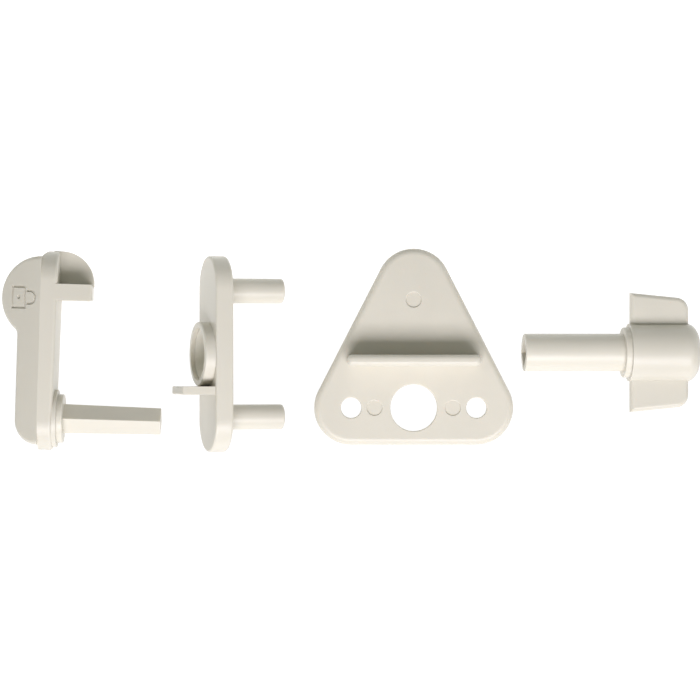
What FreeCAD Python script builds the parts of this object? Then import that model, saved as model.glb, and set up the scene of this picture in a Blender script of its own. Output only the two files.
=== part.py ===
import FreeCAD, Part
import math
import os
import re
import Sketcher

# Stair gate latch: four loose plastic mouldings laid out on a flat surface.
# Frame: +Z up, the surface is z = 0, +X runs along the row of pieces from the hook to the knob.
# Each piece is modelled in the frame of its own group (hook, guide, triangle, knob) and then placed.

Vector = FreeCAD.Vector

SIZES = {
    # hook: lever, outer relief and jaw
    "lever_half_width": 11.6,
    "lever_drop": 1.0,
    "lever_reach": 54.5,
    "lever_thickness": 5.6,
    "lever_taper": 1.1,
    "lever_edge_radius": 1.2,
    "relief_depth": 9.3,
    "relief_head_radius": 16.3,
    "relief_head_reach": 47.6,
    "relief_slope_deg": 32.0,
    "relief_edge_radius": 1.8,
    "relief_neck_radius": 3.0,
    "head_corner": 1.8,
    "shelf_low": 46.7,
    "shelf_high": 53.1,
    "shelf_reach_table_side": 13.4,
    "shelf_reach_top_side": 14.7,
    "shelf_root": 1.5,
    "shelf_edge_radius": 0.8,
    "web_radius": 13.0,
    "web_centre_offset": 1.5,
    "web_centre_reach": 53.2,
    "web_root": 1.0,
    "web_thickness": 3.0,
    "mark_depth": 0.6,
    "mark_stroke": 1.0,
    "mark_length": 7.2,
    "mark_width": 9.2,
    "mark_offset": 12.1,
    "shackle_gap": 0.3,
    "shackle_leg": 2.0,
    "shackle_radius": 3.0,
    "keyhole_radius": 0.8,
    # spindle
    "washer_radius": 11.4,
    "washer_thickness": 1.6,
    "collar_radius": 9.6,
    "collar_length": 2.4,
    "tenon_radius": 6.0,
    "tenon_length": 5.0,
    "tenon_clearance": 0.1,
    "spindle_root_side": 8.4,
    "spindle_tip_side": 7.6,
    "spindle_length": 38.5,
    "spindle_edge_radius": 0.4,
    # guide plate and bush
    "guide_half_width": 13.0,
    "guide_end_offset": 25.8,
    "guide_thickness": 7.2,
    "guide_edge_radius": 1.0,
    "boss_radius": 12.7,
    "boss_height": 4.1,
    "boss_edge_radius": 0.6,
    "mouth_depth": 1.7,
    "bush_seat_radius": 10.5,
    "bush_outer_radius": 10.4,
    "bush_bore_radius": 9.7,
    "bush_length": 7.1,
    "tube_hole_radius": 7.8,
    "tongue_reach": 13.2,
    "tongue_thickness": 3.2,
    "tongue_low_side": 4.9,
    "tongue_width": 16.7,
    "tongue_edge_radius": 0.7,
    "peg_radius": 5.0,
    "peg_length": 23.5,
    "peg_tip_radius": 0.7,
    "fixing_spacing": 50.0,
    # triangle plate
    "triangle_corner_radius": 14.8,
    "triangle_apex_height": 48.9,
    "triangle_thickness": 3.0,
    "triangle_edge_radius": 2.6,
    "tube_window_radius": 9.3,
    "screw_hole_radius": 4.05,
    "hole_edge": 0.4,
    "rib_length": 53.0,
    "rib_thickness": 4.5,
    "rib_offset": 19.0,
    "rib_height": 13.0,
    "rib_edge_radius": 1.9,
    "dimple_radius": 3.0,
    "dimple_depth": 0.5,
    "dimple_edge": 0.35,
    "dimple_side_offset": 15.6,
    "dimple_apex_height": 43.2,
    # knob
    "tube_radius": 7.45,
    "tube_length": 39.4,
    "tube_edge": 0.4,
    "socket_side": 8.7,
    "socket_depth": 44.0,
    "knob_collar_radius": 9.95,
    "knob_collar_length": 2.4,
    "spigot_length": 14.0,
    "spigot_clearance": 0.1,
    "hub_radius": 11.4,
    "hub_length": 27.6,
    "hub_end_radius": 5.2,
    "wing_span": 23.6,
    "wing_span_far": 21.3,
    "wing_start": 0.5,
    "wing_end": 23.8,
    "wing_corner_radius": 5.0,
    "wing_thickness": 4.8,
    "wing_edge_radius": 1.7,
    # where each group lies on the surface
    "hook_place_x": -117.525,
    "hook_place_y": -27.15,
    "hook_yaw_deg": -1.7,
    "guide_place_x": -56.525,
    "guide_place_y": -1.7,
    "guide_lean_deg": 18.0,
    "triangle_place_x": 25.225,
    "triangle_place_y": -23.2,
    "knob_place_x": 109.925,
    "knob_place_y": -1.1,
    "knob_lean_deg": 5.5,
}

# Two lengths closer than SAME_PLACE mm are equal. A feature that changes the volume by less than
# NO_VOLUME mm3 did nothing.
SAME_PLACE = 1e-3
NO_VOLUME = 1e-6

doc = FreeCAD.newDocument("StairGateLatch")
sheet = doc.addObject("Spreadsheet::Sheet", "Sizes")
for row, (alias, value) in enumerate(SIZES.items(), start=1):
    sheet.set(f"A{row}", alias.replace("_", " "))
    sheet.set(f"B{row}", str(value))
    sheet.setAlias(f"B{row}", alias)
doc.recompute()


def cell(expression):
    """The number that an expression over the sheet's aliases gives now."""
    result = sheet.evalExpression(expression)
    return float(getattr(result, "Value", result))


def bound(expression):
    """The same expression as another object writes it, with the sheet's name on each alias."""
    names = "|".join(SIZES)
    return re.sub(rf"\b({names})\b", r"Sizes.\1", expression)


def new_body(name):
    body = doc.addObject("PartDesign::Body", name)
    body.Label = name
    return body


def new_sketch(body, name, plane, offset=None):
    """A sketch on one of the body's own origin planes, moved along that plane's normal."""
    sketch = body.newObject("Sketcher::SketchObject", name)
    support = next(item for item in body.Origin.OriginFeatures if item.Role == plane)
    sketch.AttachmentSupport = (support, "")
    sketch.MapMode = "FlatFace"
    if offset:
        sketch.setExpression("AttachmentOffset.Base.z", bound(offset))
    return sketch


def constrain(sketch, name, expression, kind, *where):
    """A driving constraint whose value follows the sheet."""
    index = sketch.addConstraint(Sketcher.Constraint(kind, *where, cell(expression)))
    sketch.renameConstraint(index, name)
    sketch.setExpression(f"Constraints.{name}", bound(expression))


def pin_point(sketch, geometry, vertex, across, up):
    """Hold one point of a sketch at (across, up), both of them expressions."""
    for kind, axis, expression in (("DistanceX", -2, across), ("DistanceY", -1, up)):
        if abs(cell(expression)) < SAME_PLACE:
            sketch.addConstraint(Sketcher.Constraint("PointOnObject", geometry, vertex, axis))
        else:
            name = f"p{geometry}_{vertex}_{kind[-1]}"
            constrain(sketch, name, expression, kind, -1, 1, geometry, vertex)


def add_circle(sketch, across, up, radius):
    centre = Vector(cell(across), cell(up), 0)
    index = sketch.addGeometry(Part.Circle(centre, Vector(0, 0, 1), cell(radius)))
    pin_point(sketch, index, 3, across, up)
    constrain(sketch, f"radius{index}", radius, "Radius", index)


def add_polygon(sketch, corners):
    """A closed outline of straight edges through corners given as pairs of expressions."""
    points = [Vector(cell(across), cell(up), 0) for across, up in corners]
    first = sketch.GeometryCount
    count = len(points)
    for i in range(count):
        sketch.addGeometry(Part.LineSegment(points[i], points[(i + 1) % count]))
    for i in range(count):
        joined = (first + i, 2, first + (i + 1) % count, 1)
        sketch.addConstraint(Sketcher.Constraint("Coincident", *joined))
        pin_point(sketch, first + i, 1, *corners[i])


def add_rounded_hull(sketch, centres, radius):
    """The outline of equal circles, listed anticlockwise, wrapped in a tight band."""
    points = [Vector(cell(across), cell(up), 0) for across, up in centres]
    size = cell(radius)
    count = len(points)
    normals = []
    for i in range(count):
        run = points[(i + 1) % count] - points[i]
        run.normalize()
        normals.append(Vector(run.y, -run.x, 0))
    for i in range(count):
        start = math.atan2(normals[i - 1].y, normals[i - 1].x)
        stop = math.atan2(normals[i].y, normals[i].x)
        circle = Part.Circle(points[i], Vector(0, 0, 1), size)
        sketch.addGeometry(Part.ArcOfCircle(circle, start, stop))
    for i in range(count):
        shift = normals[i] * size
        sketch.addGeometry(Part.LineSegment(points[i] + shift, points[(i + 1) % count] + shift))
    for i in range(count):
        sketch.addConstraint(Sketcher.Constraint("Tangent", i, 2, count + i, 1))
        sketch.addConstraint(Sketcher.Constraint("Tangent", count + i, 2, (i + 1) % count, 1))
        pin_point(sketch, i, 3, *centres[i])
        if i:
            sketch.addConstraint(Sketcher.Constraint("Equal", 0, i))
    constrain(sketch, "radius", radius, "Radius", 0)


def add_feature(body, kind, name, profile, length=None, **settings):
    """A Pad, Pocket or the like on a sketch. It has to change the body's volume."""
    before = body.Shape.Volume if body.Tip else 0.0
    feature = body.newObject(f"PartDesign::{kind}", name)
    feature.Profile = profile
    for setting, value in settings.items():
        setattr(feature, setting, value)
    if length is not None:
        feature.setExpression("Length", bound(length))
    body.Tip = feature
    doc.recompute()
    if abs(body.Shape.Volume - before) < NO_VOLUME:
        raise RuntimeError(f"{name} changes nothing")
    return feature


def edge_names(shape, wanted):
    """The names of the edges for which wanted(points along the edge) is true."""
    names = []
    for number, edge in enumerate(shape.Edges, start=1):
        span = edge.LastParameter - edge.FirstParameter
        points = [edge.valueAt(edge.FirstParameter + span * step / 4) for step in range(5)]
        if wanted(points):
            names.append(f"Edge{number}")
    return names


def round_edges(body, name, radius, wanted):
    base = body.Tip
    names = edge_names(base.Shape, wanted)
    if not names:
        raise RuntimeError(f"{name} finds no edge")
    feature = body.newObject("PartDesign::Fillet", name)
    feature.Base = (base, names)
    feature.setExpression("Radius", bound(radius))
    body.Tip = feature
    doc.recompute()
    return feature


def near(value, target):
    return abs(value - target) < SAME_PLACE


def all_at(axis, target):
    """A test for edges that lie wholly at one value of x, y or z."""
    return lambda points: all(near(getattr(p, axis), target) for p in points)


# ---------------------------------------------------------------- hook
# The hook's group frame: origin on the spindle's axis at the lever's inner face,
# +X along the spindle towards its tip, +Y along the lever towards the jaw.

def make_hook_lever():
    body = new_body("hook_lever")
    sketch = new_sketch(body, "LeverOutline", "YZ_Plane", "lever_taper")
    centres = [("-lever_drop", "0"), ("lever_reach", "0")]
    add_rounded_hull(sketch, centres, "lever_half_width")
    add_feature(body, "Pad", "Lever", sketch, "lever_thickness + lever_taper", Reversed=True)
    # the inner face leans a little, so that the lever is thickest at the jaw
    sketch = new_sketch(body, "TaperSection", "XY_Plane")
    foot, head = "-lever_drop - lever_half_width", "lever_reach + lever_half_width"
    add_polygon(sketch, [("0", foot), ("lever_taper", foot), ("lever_taper", head)])
    add_feature(body, "Pocket", "Taper", sketch, Type="ThroughAll", SideType="Symmetric")
    round_edges(body, "LeverInnerEdge", "lever_edge_radius", on_inner_face)

    # the jaw's shelf, across the full width of the lever and a little deeper on one side
    sketch = new_sketch(body, "ShelfSection", "XZ_Plane", "-shelf_high")
    add_polygon(sketch, [
        ("-shelf_root", "-lever_half_width"),
        ("shelf_reach_table_side", "-lever_half_width"),
        ("shelf_reach_top_side", "lever_half_width"),
        ("-shelf_root", "lever_half_width"),
    ])
    add_feature(body, "Pad", "Shelf", sketch, "shelf_high - shelf_low")
    middle = cell("shelf_reach_table_side / 2")
    low, high = cell("shelf_low") - SAME_PLACE, cell("shelf_high") + SAME_PLACE
    round_edges(body, "ShelfEdges", "shelf_edge_radius", lambda points: (
        all(p.x > 0 and low <= p.y <= high for p in points) and max(p.x for p in points) > middle))

    # the jaw's web, a quarter disc in the middle plane
    sketch = new_sketch(body, "WebOutline", "XY_Plane")
    add_web_outline(sketch)
    add_feature(body, "Pad", "Web", sketch, "web_thickness", SideType="Symmetric")

    # the relief on the outer face: a bar with a round head, sloping away from the lever's edge
    sketch = new_sketch(body, "ReliefOutline", "XY_Plane")
    add_relief_outline(sketch)
    add_feature(body, "Pad", "Relief", sketch, "2 * lever_half_width", SideType="Symmetric")
    sketch = new_sketch(body, "SlopeSection", "XZ_Plane")
    add_polygon(sketch, [
        ("-lever_thickness", "lever_half_width"),
        ("-lever_thickness", "2 * lever_half_width"),
        ("-lever_thickness - 2 * relief_head_radius", "2 * lever_half_width"),
        ("-lever_thickness - 2 * relief_head_radius",
         "lever_half_width - 2 * relief_head_radius * tan(relief_slope_deg)"),
    ])
    add_feature(body, "Pocket", "Slope", sketch, Type="ThroughAll", SideType="Symmetric")
    neck = cell("-lever_thickness - relief_depth")
    round_edges(body, "Neck", "relief_neck_radius", lambda points: (
        all(near(p.x, neck) for p in points) and all(near(p.y, points[0].y) for p in points)
        and points[0].y > cell("relief_depth")))
    round_edges(body, "ReliefEdges", "relief_edge_radius", on_slope_rim)

    # the lever's outer corner is cut back where its end stands above the round head
    sketch = new_sketch(body, "HeadCornerOutline", "XY_Plane")
    end = "lever_reach + lever_half_width"
    add_polygon(sketch, [
        ("-lever_thickness", f"{end} - head_corner"),
        ("-lever_thickness + head_corner", end),
        ("-lever_thickness", end),
    ])
    add_feature(body, "Pocket", "HeadCorner", sketch, Type="ThroughAll", SideType="Symmetric")

    # a low washer face for the spindle's collar, and the socket for its tenon
    sketch = new_sketch(body, "WasherOutline", "YZ_Plane")
    add_circle(sketch, "0", "0", "washer_radius")
    add_feature(body, "Pad", "Washer", sketch, "washer_thickness")
    sketch = new_sketch(body, "TenonSocketOutline", "YZ_Plane", "washer_thickness")
    add_circle(sketch, "0", "0", "tenon_radius + tenon_clearance")
    add_feature(body, "Pocket", "TenonSocket", sketch, "washer_thickness + tenon_length")

    add_padlock_mark(body)
    return body


def add_web_outline(sketch):
    """A quarter disc carried back into the lever and down into the shelf."""
    across, up, size = cell("web_centre_offset"), cell("web_centre_reach"), cell("web_radius")
    left, bottom = -cell("shelf_root"), cell("shelf_high - web_root")
    circle = Part.Circle(Vector(across, up, 0), Vector(0, 0, 1), size)
    sketch.addGeometry(Part.ArcOfCircle(circle, 0, math.pi / 2))
    corners = [Vector(across, up + size, 0), Vector(left, up + size, 0),
               Vector(left, bottom, 0), Vector(across + size, bottom, 0),
               Vector(across + size, up, 0)]
    for start, stop in zip(corners, corners[1:]):
        sketch.addGeometry(Part.LineSegment(start, stop))
    for i in range(5):
        joined = (i, 2, (i + 1) % 5, 1)
        sketch.addConstraint(Sketcher.Constraint("Coincident", *joined))
    pin_point(sketch, 0, 3, "web_centre_offset", "web_centre_reach")
    pin_point(sketch, 0, 1, "web_centre_offset + web_radius", "web_centre_reach")
    constrain(sketch, "arc_end", "web_centre_offset", "DistanceX", -1, 1, 0, 2)
    pin_point(sketch, 3, 1, "-shelf_root", "shelf_high - web_root")
    for kind, index in (("Horizontal", 1), ("Vertical", 2), ("Horizontal", 3), ("Vertical", 4)):
        sketch.addConstraint(Sketcher.Constraint(kind, index))


def add_relief_outline(sketch):
    """A bar with a quarter-round foot and a round head, all to the left of the lever."""
    wall, foot = "-lever_thickness", "-lever_drop"
    outer = "-lever_thickness - relief_depth"
    head = cell("relief_head_radius")
    side = cell("relief_depth")
    drop = math.sqrt(head ** 2 - side ** 2)
    x_wall, y_foot, y_head = cell(wall), cell(foot), cell("relief_head_reach")
    foot_circle = Part.Circle(Vector(x_wall, y_foot, 0), Vector(0, 0, 1), side)
    head_circle = Part.Circle(Vector(x_wall, y_head, 0), Vector(0, 0, 1), head)
    neck_angle = math.pi + math.acos(side / head)
    sketch.addGeometry(Part.ArcOfCircle(foot_circle, math.pi, 1.5 * math.pi))
    sketch.addGeometry(Part.LineSegment(Vector(x_wall, y_foot - side, 0),
                                        Vector(x_wall, y_head + head, 0)))
    sketch.addGeometry(Part.ArcOfCircle(head_circle, math.pi / 2, neck_angle))
    sketch.addGeometry(Part.LineSegment(Vector(x_wall - side, y_head - drop, 0),
                                        Vector(x_wall - side, y_foot, 0)))
    for i in range(4):
        joined = (i, 2, (i + 1) % 4, 1)
        sketch.addConstraint(Sketcher.Constraint("Coincident", *joined))
    pin_point(sketch, 0, 3, wall, foot)
    pin_point(sketch, 0, 1, outer, foot)
    constrain(sketch, "foot_end", wall, "DistanceX", -1, 1, 0, 2)
    pin_point(sketch, 2, 3, wall, "relief_head_reach")
    pin_point(sketch, 2, 1, wall, "relief_head_reach + relief_head_radius")
    constrain(sketch, "neck_end", outer, "DistanceX", -1, 1, 2, 2)


def on_inner_face(points):
    """True on the border of the lever's leaning inner face."""
    foot = -cell("lever_drop + lever_half_width")
    lean = cell("lever_taper / (lever_drop + lever_reach + 2 * lever_half_width)")
    return all(near(p.x, (p.y - foot) * lean) for p in points)


def on_slope_rim(points):
    """True on the sloping face's border, apart from where it meets the lever's edge."""
    slope = math.tan(math.radians(cell("relief_slope_deg")))
    edge_x, edge_z = -cell("lever_thickness"), cell("lever_half_width")
    on_plane = all(near(p.z, edge_z + (p.x - edge_x) * slope) for p in points)
    return on_plane and not all(near(p.x, edge_x) for p in points)


def add_padlock_mark(body):
    """A plain padlock outline, engraved in the sloping face of the relief's head."""
    sketch = new_sketch(body, "MarkOutline", "XY_Plane")
    turn = FreeCAD.Rotation(Vector(0, 1, 0), -cell("relief_slope_deg"))
    sketch.AttachmentOffset = FreeCAD.Placement(Vector(), turn)
    place = {
        "x": "-lever_thickness - mark_offset",
        "y": "relief_head_reach",
        "z": "lever_half_width - mark_offset * tan(relief_slope_deg)",
    }
    for axis, expression in place.items():
        sketch.setExpression(f"AttachmentOffset.Base.{axis}", bound(expression))
    for inset in ("0", "mark_stroke"):
        add_polygon(sketch, [
            (inset, f"{inset} - mark_width / 2"),
            (f"mark_length - {inset}", f"{inset} - mark_width / 2"),
            (f"mark_length - {inset}", f"mark_width / 2 - {inset}"),
            (inset, f"mark_width / 2 - {inset}"),
        ])
    add_circle(sketch, "mark_length / 2", "0", "keyhole_radius")
    add_shackle(sketch)
    add_feature(body, "Pocket", "Mark", sketch, "mark_depth")


def add_shackle(sketch):
    """The padlock's shackle: a half ring on two short legs."""
    left, right = "mark_length + shackle_gap", "mark_length + shackle_leg"
    outer, inner = "shackle_radius", "(shackle_radius - mark_stroke)"
    runs = [
        [(right, outer), (left, outer), (left, inner), (right, inner)],
        [(right, f"-{inner}"), (left, f"-{inner}"), (left, f"-{outer}"), (right, f"-{outer}")],
    ]
    ends = []
    for run in runs:
        points = [Vector(cell(across), cell(up), 0) for across, up in run]
        first = sketch.GeometryCount
        for i in range(3):
            sketch.addGeometry(Part.LineSegment(points[i], points[i + 1]))
            pin_point(sketch, first + i, 1, *run[i])
            if i:
                sketch.addConstraint(Sketcher.Constraint("Coincident", first + i - 1, 2,
                                                         first + i, 1))
        pin_point(sketch, first + 2, 2, *run[3])
        ends.append((first, first + 2))
    (top_outer, top_inner), (low_inner, low_outer) = ends
    joins = [(outer, (low_outer, 2), (top_outer, 1)), (inner, (low_inner, 1), (top_inner, 2))]
    for radius, start, stop in joins:
        circle = Part.Circle(Vector(cell(right), 0, 0), Vector(0, 0, 1), cell(radius))
        arc = sketch.addGeometry(Part.ArcOfCircle(circle, -math.pi / 2, math.pi / 2))
        sketch.addConstraint(Sketcher.Constraint("Coincident", arc, 1, *start))
        sketch.addConstraint(Sketcher.Constraint("Coincident", arc, 2, *stop))
        constrain(sketch, f"centre{arc}", right, "DistanceX", -1, 1, arc, 3)


def add_diamond(sketch, side):
    """A square standing on its corner."""
    reach = f"{side} * sqrt(2) / 2"
    back = f"-{side} * sqrt(2) / 2"
    add_polygon(sketch, [(reach, "0"), ("0", reach), (back, "0"), ("0", back)])


def make_hook_spindle():
    body = new_body("hook_spindle")
    sketch = new_sketch(body, "CollarOutline", "YZ_Plane", "washer_thickness")
    add_circle(sketch, "0", "0", "collar_radius")
    add_feature(body, "Pad", "Collar", sketch, "collar_length")
    sketch = new_sketch(body, "TenonOutline", "YZ_Plane", "washer_thickness")
    add_circle(sketch, "0", "0", "tenon_radius")
    add_feature(body, "Pad", "Tenon", sketch, "washer_thickness + tenon_length", Reversed=True)
    root = new_sketch(body, "SpindleRoot", "YZ_Plane", "washer_thickness + collar_length")
    add_diamond(root, "spindle_root_side")
    tip = new_sketch(body, "SpindleTip", "YZ_Plane",
                     "washer_thickness + collar_length + spindle_length")
    add_diamond(tip, "spindle_tip_side")
    add_feature(body, "AdditiveLoft", "Spindle", root, Sections=[tip])
    collar_face = cell("washer_thickness + collar_length")
    round_edges(body, "SpindleEdges", "spindle_edge_radius",
                lambda points: max(p.x for p in points) > collar_face + SAME_PLACE)
    round_edges(body, "CollarEdge", "spindle_edge_radius", lambda points: (
        all_at("x", collar_face)(points)
        and all(near(math.hypot(p.y, p.z), cell("collar_radius")) for p in points)))
    return body


# ---------------------------------------------------------------- guide
# The guide's group frame: origin on the bore's axis at the plate's front face,
# +X through the plate towards the pegs' tips, +Y along the plate.

def make_guide_plate():
    body = new_body("guide_plate")
    sketch = new_sketch(body, "PlateOutline", "YZ_Plane")
    centres = [("-guide_end_offset", "0"), ("guide_end_offset", "0")]
    add_rounded_hull(sketch, centres, "guide_half_width")
    add_feature(body, "Pad", "Plate", sketch, "guide_thickness")
    back = cell("guide_thickness")
    round_edges(body, "PlateEdges", "guide_edge_radius",
                lambda points: all_at("x", 0.0)(points) or all_at("x", back)(points))

    sketch = new_sketch(body, "BossOutline", "YZ_Plane")
    add_circle(sketch, "0", "0", "boss_radius")
    add_feature(body, "Pad", "Boss", sketch, "boss_height", Reversed=True)
    round_edges(body, "BossEdge", "boss_edge_radius", all_at("x", -cell("boss_height")))

    # the stop tongue, which the lever comes to rest on
    sketch = new_sketch(body, "TongueOutline", "XY_Plane", "-tongue_low_side")
    add_polygon(sketch, [
        ("-tongue_reach", "-boss_radius - tongue_thickness"),
        ("guide_edge_radius", "-boss_radius - tongue_thickness"),
        ("guide_edge_radius", "-boss_radius"),
        ("-tongue_reach", "-boss_radius"),
    ])
    add_feature(body, "Pad", "Tongue", sketch, "tongue_width")
    round_edges(body, "TongueEdges", "tongue_edge_radius", all_at("x", -cell("tongue_reach")))

    # the seat for the bush and the smaller hole that the knob's tube passes through
    sketch = new_sketch(body, "BushSeatOutline", "YZ_Plane", "-boss_height")
    add_circle(sketch, "0", "0", "bush_seat_radius")
    add_feature(body, "Pocket", "BushSeat", sketch, "mouth_depth + bush_length", Reversed=True)
    sketch = new_sketch(body, "TubeHoleOutline", "YZ_Plane", "-boss_height")
    add_circle(sketch, "0", "0", "tube_hole_radius")
    add_feature(body, "Pocket", "TubeHole", sketch, "boss_height + 2 * guide_thickness",
                Reversed=True)

    sketch = new_sketch(body, "PegOutlines", "YZ_Plane", "guide_thickness")
    for side in ("-", ""):
        add_circle(sketch, f"{side}fixing_spacing / 2", "0", "peg_radius")
    add_feature(body, "Pad", "Pegs", sketch, "peg_length")
    round_edges(body, "PegTips", "peg_tip_radius",
                all_at("x", cell("guide_thickness + peg_length")))
    return body


def make_bearing_bush():
    body = new_body("bearing_bush")
    sketch = new_sketch(body, "RingOutline", "YZ_Plane", "mouth_depth - boss_height")
    add_circle(sketch, "0", "0", "bush_outer_radius")
    add_circle(sketch, "0", "0", "bush_bore_radius")
    add_feature(body, "Pad", "Ring", sketch, "bush_length")
    return body


# ---------------------------------------------------------------- triangle
# The triangle's group frame: origin at the tube window's centre on the plate's underside,
# +Y towards the apex, +Z up through the plate.

def make_triangle_plate():
    body = new_body("triangle_plate")
    sketch = new_sketch(body, "PlateOutline", "XY_Plane")
    centres = [("-fixing_spacing / 2", "0"), ("fixing_spacing / 2", "0"),
               ("0", "triangle_apex_height")]
    add_rounded_hull(sketch, centres, "triangle_corner_radius")
    add_feature(body, "Pad", "Plate", sketch, "triangle_thickness")
    top = cell("triangle_thickness")
    round_edges(body, "PlateEdge", "triangle_edge_radius", all_at("z", top))

    sketch = new_sketch(body, "RibOutline", "XY_Plane", "triangle_thickness / 2")
    add_polygon(sketch, [
        ("-rib_length / 2", "rib_offset - rib_thickness / 2"),
        ("rib_length / 2", "rib_offset - rib_thickness / 2"),
        ("rib_length / 2", "rib_offset + rib_thickness / 2"),
        ("-rib_length / 2", "rib_offset + rib_thickness / 2"),
    ])
    add_feature(body, "Pad", "Rib", sketch, "triangle_thickness / 2 + rib_height")
    round_edges(body, "RibEdges", "rib_edge_radius",
                lambda points: max(p.z for p in points) > top + SAME_PLACE)

    sketch = new_sketch(body, "HoleOutlines", "XY_Plane")
    add_circle(sketch, "0", "0", "tube_window_radius")
    for side in ("-", ""):
        add_circle(sketch, f"{side}fixing_spacing / 2", "0", "screw_hole_radius")
    add_feature(body, "Pocket", "Holes", sketch, "triangle_thickness + rib_height",
                Reversed=True)
    bored = (cell("tube_window_radius"), cell("screw_hole_radius"))
    round_edges(body, "HoleEdges", "hole_edge", lambda points: (
        all_at("z", top)(points) and any(near(ring_radius(points), hole) for hole in bored)))

    sketch = new_sketch(body, "DimpleOutlines", "XY_Plane", "triangle_thickness")
    for side in ("-", ""):
        add_circle(sketch, f"{side}dimple_side_offset", "0", "dimple_radius")
    add_circle(sketch, "0", "dimple_apex_height", "dimple_radius")
    add_feature(body, "Pocket", "Dimples", sketch, "dimple_depth")
    round_edges(body, "DimpleEdges", "dimple_edge", lambda points: (
        all_at("z", top)(points) and near(ring_radius(points), cell("dimple_radius"))))
    return body


def ring_radius(points):
    """The radius of a whole circular edge, or zero for an edge that isn't closed."""
    start, opposite, end = points[0], points[len(points) // 2], points[-1]
    return (start - opposite).Length / 2 if near((start - end).Length, 0) else 0


# ---------------------------------------------------------------- knob
# The knob's group frame: origin on its axis where the grip meets the sleeve's collar,
# +X from the tube's tip towards the grip's closed end, wings along +Y and -Y.

def add_revolved_profile(body, name, corners):
    sketch = new_sketch(body, f"{name}Profile", "XY_Plane")
    add_polygon(sketch, corners)
    axis = next(item for item in body.Origin.OriginFeatures if item.Role == "X_Axis")
    return add_feature(body, "Revolution", name, sketch, ReferenceAxis=(axis, [""]), Angle=360.0)


def make_knob_sleeve():
    body = new_body("knob_sleeve")
    tip = "-knob_collar_length - tube_length"
    add_revolved_profile(body, "Sleeve", [
        (tip, "0"), ("spigot_length", "0"), ("spigot_length", "tube_radius"),
        ("0", "tube_radius"), ("0", "knob_collar_radius"),
        ("-knob_collar_length", "knob_collar_radius"), ("-knob_collar_length", "tube_radius"),
        (tip, "tube_radius"),
    ])
    tip_x, collar_x = cell(tip), cell("-knob_collar_length")
    round_edges(body, "SleeveEdges", "tube_edge", lambda points: (
        all_at("x", tip_x)(points) or all_at("x", collar_x)(points)
        and all(near(math.hypot(p.y, p.z), cell("knob_collar_radius")) for p in points)))
    sketch = new_sketch(body, "SocketOutline", "YZ_Plane", tip)
    add_diamond(sketch, "socket_side")
    add_feature(body, "Pocket", "Socket", sketch, "socket_depth", Reversed=True)
    return body


def make_knob_grip():
    body = new_body("knob_grip")
    # both wings are one plate that the hub is then built around
    sketch = new_sketch(body, "WingOutline", "XY_Plane")
    add_polygon(sketch, [
        ("wing_start", "-wing_span"), ("wing_end", "-wing_span_far"),
        ("wing_end", "wing_span_far"), ("wing_start", "wing_span"),
    ])
    add_feature(body, "Pad", "Wings", sketch, "wing_thickness", SideType="Symmetric")
    far, half = cell("wing_end"), cell("wing_thickness / 2")
    round_edges(body, "WingCorners", "wing_corner_radius", lambda points: (
        all_at("x", far)(points) and not near(points[0].z, points[-1].z)))
    round_edges(body, "WingEdges", "wing_edge_radius",
                lambda points: all(near(abs(p.z), half) for p in points))

    add_revolved_profile(body, "Hub", [
        ("0", "0"), ("hub_length", "0"), ("hub_length", "hub_radius"), ("0", "hub_radius"),
    ])
    round_edges(body, "HubEnd", "hub_end_radius", all_at("x", cell("hub_length")))
    sketch = new_sketch(body, "SpigotBoreOutline", "YZ_Plane")
    add_circle(sketch, "0", "0", "tube_radius + spigot_clearance")
    add_feature(body, "Pocket", "SpigotBore", sketch, "spigot_length + spigot_clearance",
                Reversed=True)
    return body


# ---------------------------------------------------------------- the layout

def leaning(axis, angle, base):
    return FreeCAD.Placement(base, FreeCAD.Rotation(axis, cell(angle)))


def lean_height(angle, reach, half_height, radius):
    """Height of a leaning piece's origin when its rounded lower edge rests on the surface."""
    lean = math.radians(cell(angle))
    inner = (cell(reach) - cell(radius)) * math.sin(lean)
    return inner + (cell(half_height) - cell(radius)) * math.cos(lean) + cell(radius)


UP, ALONG_Y = Vector(0, 0, 1), Vector(0, 1, 0)
hook_place = leaning(UP, "hook_yaw_deg", Vector(
    cell("hook_place_x"), cell("hook_place_y"), cell("lever_half_width")))
guide_place = leaning(ALONG_Y, "guide_lean_deg", Vector(
    cell("guide_place_x"), cell("guide_place_y"),
    lean_height("guide_lean_deg", "guide_thickness", "guide_half_width", "guide_edge_radius")))
triangle_place = FreeCAD.Placement(
    Vector(cell("triangle_place_x"), cell("triangle_place_y"), 0), FreeCAD.Rotation())
knob_place = leaning(ALONG_Y, "knob_lean_deg", Vector(
    cell("knob_place_x"), cell("knob_place_y"),
    lean_height("knob_lean_deg", "hub_length", "hub_radius", "hub_end_radius")))

PIECES = [
    (make_hook_lever, hook_place),
    (make_hook_spindle, hook_place),
    (make_guide_plate, guide_place),
    (make_bearing_bush, guide_place),
    (make_triangle_plate, triangle_place),
    (make_knob_grip, knob_place),
    (make_knob_sleeve, knob_place),
]

bodies = []
for make, place in PIECES:
    piece = make()
    piece.Placement = place
    bodies.append(piece)
doc.recompute()

failed = [item.Name for item in doc.Objects if {"Invalid", "Error"} & set(item.State)]
failed += [piece.Label for piece in bodies if piece.Shape.isNull() or not piece.Shape.isValid()]
failed += [piece.Label for piece in bodies if len(piece.Shape.Solids) != 1]
if failed:
    raise RuntimeError(f"these objects failed: {failed}")

os.makedirs("parts", exist_ok=True)
whole = FreeCAD.BoundBox()
for piece in bodies:
    piece.Shape.exportStep(f"parts/{piece.Label}.step")
    whole.add(piece.Shape.optimalBoundingBox())
    print(piece.Label, round(piece.Shape.Volume), "mm3")
print("box", [round(v, 2) for v in (whole.XMin, whole.XMax, whole.YMin, whole.YMax,
                                    whole.ZMin, whole.ZMax)])
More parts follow.
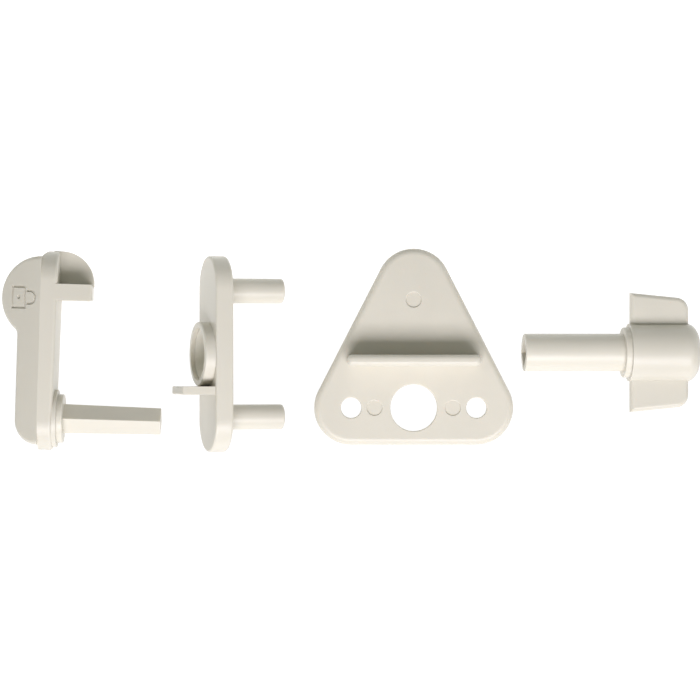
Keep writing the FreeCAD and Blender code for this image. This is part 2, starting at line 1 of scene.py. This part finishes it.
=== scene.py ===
import bpy
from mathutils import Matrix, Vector

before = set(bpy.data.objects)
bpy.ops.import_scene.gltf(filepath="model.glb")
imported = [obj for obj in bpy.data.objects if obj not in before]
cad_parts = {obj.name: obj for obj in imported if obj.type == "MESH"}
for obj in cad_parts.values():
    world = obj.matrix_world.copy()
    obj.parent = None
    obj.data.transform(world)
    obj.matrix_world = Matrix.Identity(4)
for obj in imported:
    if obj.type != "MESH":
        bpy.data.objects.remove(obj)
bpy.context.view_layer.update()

# Lengths are in metres, light power is in watts, and noise scales are per metre.

# ---------------------------------------------------------------- plastic values

IVORY = (0.690, 0.658, 0.574)
PLASTIC_IOR = 1.49
# How much light goes under the skin, and how far its red, green and blue travel there.
SCATTER_WEIGHT = 0.18
SCATTER_RADIUS = (0.0030, 0.0026, 0.0020)

# Flow clouds: the colour's faint shade in them, and where in the noise they start and end.
CLOUD_SCALE, CLOUD_DETAIL = 45.0, 3.0
CLOUD_SHADE = 0.955
CLOUD_START, CLOUD_END = 0.30, 0.72

# Polish: how far the roughness falls and rises about the piece's own.
POLISH_SCALE, POLISH_DETAIL = 160.0, 4.0
POLISH_FALL, POLISH_RISE = 0.06, 0.08

# Bumps: a fine satin grain, and the broad swell of a moulded face.
GRAIN_SCALE, GRAIN_DETAIL = 2600.0, 2.0
GRAIN_STRENGTH, GRAIN_HEIGHT = 0.10, 0.0002
SWELL_SCALE, SWELL_DETAIL = 110.0, 1.0
SWELL_STRENGTH, SWELL_HEIGHT = 0.12, 0.0006

# Which way the plastic flowed: the clouds are longer along the axis with the small factor.
NO_FLOW = (1.0, 1.0, 1.0)
FLOW_ALONG_X = (0.25, 1.0, 1.0)
FLOW_ALONG_Y = (1.0, 0.35, 1.0)

FINISHES = {
    "hook_lever": dict(tint_and_painted_light=0.97, roughness=0.38, flow=FLOW_ALONG_Y),
    "hook_spindle": dict(tint_and_painted_light=1.0, roughness=0.37, flow=FLOW_ALONG_X),
    "guide_plate": dict(tint_and_painted_light=0.99, roughness=0.34, flow=FLOW_ALONG_Y),
    # The bearing bush's tint of 1.16 is painted light: it lightens the bush to stand in for the
    # light that shows inside the guide plate's bore.
    "bearing_bush": dict(tint_and_painted_light=1.16, roughness=0.36, flow=NO_FLOW),
    "triangle_plate": dict(tint_and_painted_light=1.0, roughness=0.38, flow=NO_FLOW),
    "knob_grip": dict(tint_and_painted_light=1.0, roughness=0.36, flow=NO_FLOW),
    "knob_sleeve": dict(tint_and_painted_light=1.03, roughness=0.36, flow=FLOW_ALONG_X),
}

# ---------------------------------------------------------------- stage values

# The camera looks straight down on the layout, and VIEW_WIDTH is what it sees on the floor.
CAMERA_PLACE = (-0.0002, -0.0001, 1.19)
VIEW_WIDTH = 0.280
SENSOR_WIDTH = 36.0
CLIP_NEAR, CLIP_FAR = 0.05, 20.0

FLOOR_SIZE = 8.0
FLOOR_DROP = 0.0002
FLOOR_COLOUR = (0.10, 0.10, 0.10)
FLOOR_ROUGHNESS = 0.9
GLOW_COLOUR = (1.0, 1.0, 1.0)
# The floor's glow on its near and far side, and where along Y it changes from one to the other.
GLOW_NEAR, GLOW_FAR = 0.98, 1.50
GLOW_START, GLOW_END = -0.01, 0.08

KEY_POWER = 9.1
KEY_SIZE = (0.95, 0.38)
KEY_PLACE = (0.04, -0.49, 0.69)
KEY_COLOUR = (0.98, 0.955, 1.0)

ROOM_COLOUR = (0.955, 1.0, 0.92)
ROOM_STRENGTH = 0.28


# ---------------------------------------------------------------- materials

def opaque(colour):
    return (*colour, 1.0)


def shaded(factor):
    return opaque([channel * factor for channel in IVORY])


def new_material(name):
    material = bpy.data.materials.new(name)
    material.use_nodes = True
    nodes = material.node_tree.nodes
    return material, nodes, material.node_tree.links, nodes["Principled BSDF"]


def object_noise(nodes, links, scale, detail, stretch=NO_FLOW):
    """Noise that sticks to the object, stretched along its axes."""
    place = nodes.new("ShaderNodeTexCoord")
    mapping = nodes.new("ShaderNodeMapping")
    mapping.inputs["Scale"].default_value = stretch
    noise = nodes.new("ShaderNodeTexNoise")
    noise.inputs["Scale"].default_value = scale
    noise.inputs["Detail"].default_value = detail
    links.new(place.outputs["Object"], mapping.inputs["Vector"])
    links.new(mapping.outputs["Vector"], noise.inputs["Vector"])
    return noise


def new_bump(nodes, strength, height):
    bump = nodes.new("ShaderNodeBump")
    bump.inputs["Strength"].default_value = strength
    bump.inputs["Distance"].default_value = height
    return bump


def moulded_plastic(name, tint_and_painted_light, roughness, flow):
    """Warm ivory moulded plastic: faint flow clouds, uneven polish, satin grain and a soft swell.
    The tint scales the ivory; for the bearing bush it is painted light that brightens the bore.
    """
    material, nodes, links, shader = new_material(name)
    clouds = object_noise(nodes, links, CLOUD_SCALE, CLOUD_DETAIL, flow)
    ramp = nodes.new("ShaderNodeValToRGB")
    low, high = ramp.color_ramp.elements
    low.position, high.position = CLOUD_START, CLOUD_END
    low.color, high.color = shaded(tint_and_painted_light * CLOUD_SHADE), shaded(tint_and_painted_light)
    links.new(clouds.outputs["Fac"], ramp.inputs["Fac"])
    links.new(ramp.outputs["Color"], shader.inputs["Base Color"])

    polish = object_noise(nodes, links, POLISH_SCALE, POLISH_DETAIL, flow)
    shine = nodes.new("ShaderNodeMapRange")
    shine.inputs["To Min"].default_value = roughness - POLISH_FALL
    shine.inputs["To Max"].default_value = roughness + POLISH_RISE
    links.new(polish.outputs["Fac"], shine.inputs["Value"])
    links.new(shine.outputs["Result"], shader.inputs["Roughness"])

    grain = object_noise(nodes, links, GRAIN_SCALE, GRAIN_DETAIL)
    swell = object_noise(nodes, links, SWELL_SCALE, SWELL_DETAIL)
    fine = new_bump(nodes, GRAIN_STRENGTH, GRAIN_HEIGHT)
    broad = new_bump(nodes, SWELL_STRENGTH, SWELL_HEIGHT)
    links.new(grain.outputs["Fac"], fine.inputs["Height"])
    links.new(swell.outputs["Fac"], broad.inputs["Height"])
    links.new(fine.outputs["Normal"], broad.inputs["Normal"])
    links.new(broad.outputs["Normal"], shader.inputs["Normal"])

    shader.inputs["IOR"].default_value = PLASTIC_IOR
    shader.inputs["Subsurface Weight"].default_value = SCATTER_WEIGHT
    shader.inputs["Subsurface Radius"].default_value = SCATTER_RADIUS
    shader.inputs["Subsurface Scale"].default_value = 1.0
    return material


def light_table():
    """The pale surface the pieces lie on. It glows a little, and more towards its far side, +Y."""
    material, nodes, links, shader = new_material("light_table")
    shader.inputs["Base Color"].default_value = opaque(FLOOR_COLOUR)
    shader.inputs["Roughness"].default_value = FLOOR_ROUGHNESS
    shader.inputs["Emission Color"].default_value = opaque(GLOW_COLOUR)
    place = nodes.new("ShaderNodeTexCoord")
    split = nodes.new("ShaderNodeSeparateXYZ")
    glow = nodes.new("ShaderNodeMapRange")
    glow.interpolation_type = "SMOOTHSTEP"
    glow.inputs["From Min"].default_value = GLOW_START
    glow.inputs["From Max"].default_value = GLOW_END
    glow.inputs["To Min"].default_value = GLOW_NEAR
    glow.inputs["To Max"].default_value = GLOW_FAR
    links.new(place.outputs["Object"], split.inputs["Vector"])
    links.new(split.outputs["Y"], glow.inputs["Value"])
    links.new(glow.outputs["Result"], shader.inputs["Emission Strength"])
    return material


def dress_nodes():
    """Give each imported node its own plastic."""
    for name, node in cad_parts.items():
        material = moulded_plastic(f"{name}_ivory", **FINISHES[name])
        node.data.materials.clear()
        node.data.materials.append(material)


# ---------------------------------------------------------------- stage

def add_floor():
    """A plane just under the layout, so that it doesn't flicker against the pieces' lowest faces."""
    bpy.ops.mesh.primitive_plane_add(size=FLOOR_SIZE, location=(0.0, 0.0, -FLOOR_DROP))
    floor = bpy.context.object
    floor.name = "floor"
    floor.data.materials.append(light_table())


def add_key_light():
    """A broad soft light from the spindle's side of the layout, aimed at its middle."""
    light = bpy.data.lights.new("key", "AREA")
    light.energy = KEY_POWER
    light.color = KEY_COLOUR
    light.shape = "RECTANGLE"
    light.size, light.size_y = KEY_SIZE
    holder = bpy.data.objects.new("key", light)
    holder.location = KEY_PLACE
    to_middle = -Vector(KEY_PLACE)
    holder.rotation_euler = to_middle.to_track_quat("-Z", "Y").to_euler()
    bpy.context.collection.objects.link(holder)


def add_room():
    """Pale light from all round, which fills the shadows."""
    world = bpy.data.worlds.new("room")
    world.use_nodes = True
    background = world.node_tree.nodes["Background"]
    background.inputs["Color"].default_value = opaque(ROOM_COLOUR)
    background.inputs["Strength"].default_value = ROOM_STRENGTH
    bpy.context.scene.world = world


def add_camera():
    camera = bpy.data.cameras.new("camera")
    camera.sensor_width = SENSOR_WIDTH
    camera.lens = SENSOR_WIDTH * CAMERA_PLACE[2] / VIEW_WIDTH
    camera.clip_start, camera.clip_end = CLIP_NEAR, CLIP_FAR
    holder = bpy.data.objects.new("camera", camera)
    holder.location = CAMERA_PLACE
    bpy.context.collection.objects.link(holder)
    bpy.context.scene.camera = holder


dress_nodes()
add_floor()
add_key_light()
add_room()
add_camera()
bpy.context.scene.view_settings.view_transform = "Standard"
